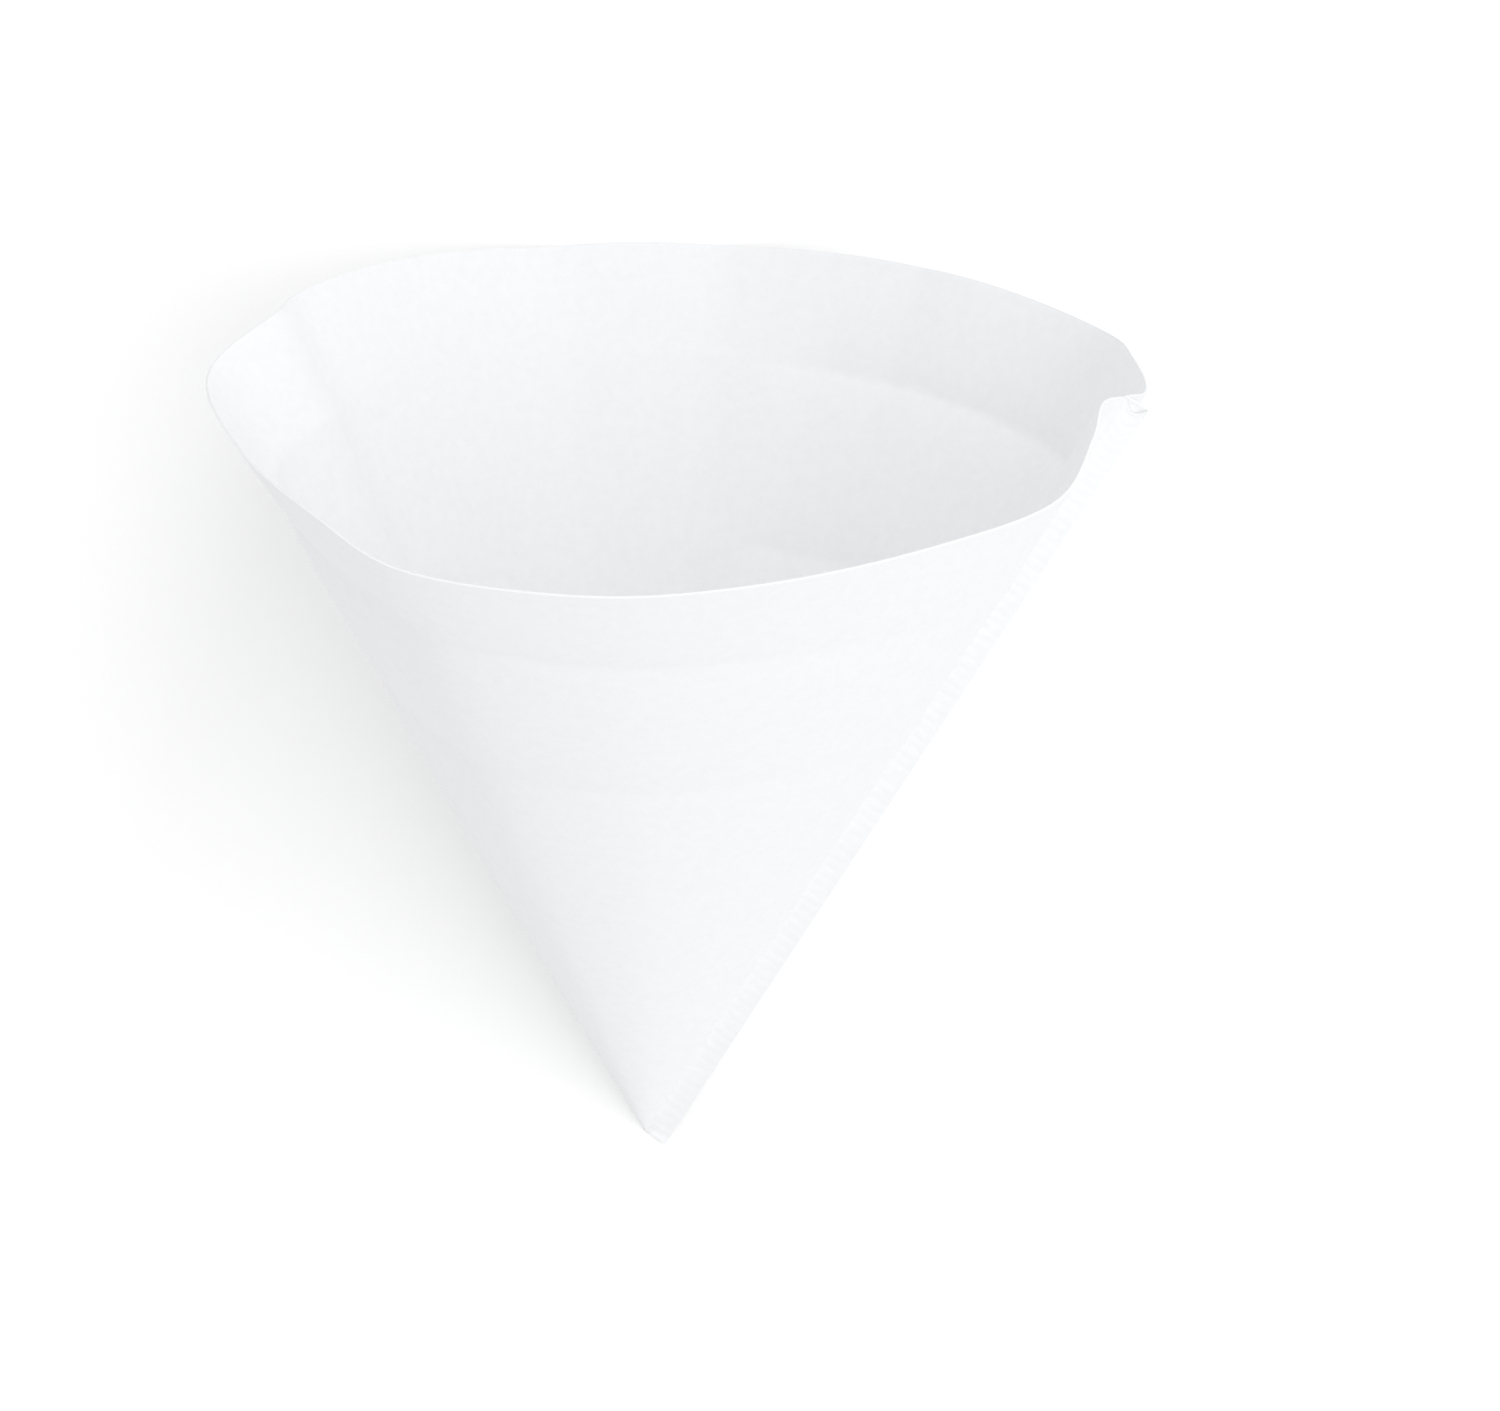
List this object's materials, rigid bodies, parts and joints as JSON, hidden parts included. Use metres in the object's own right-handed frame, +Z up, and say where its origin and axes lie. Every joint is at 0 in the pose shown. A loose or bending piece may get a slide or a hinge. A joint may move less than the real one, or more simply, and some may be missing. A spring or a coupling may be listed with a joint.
{
  "type": "fryer oil filter cone",
  "caption": "White non-woven filter cone with a crimped seam down one side, opened out and lying on its side, for straining used frying oil.",
  "frame": {"origin": "middle of the bounding box at table height, under the cone as it lies on its side", "axes": "+Z up from the table, +Y from the tip towards the mouth, +X towards the crimped seam"},
  "size_m": [0.2406, 0.2524, 0.2211],
  "materials": {
    "cloth": "matt non-woven cloth, white"
  },
  "bodies": {
    "root": {"filter_cone": "cloth"}
  },
  "joints": []
}
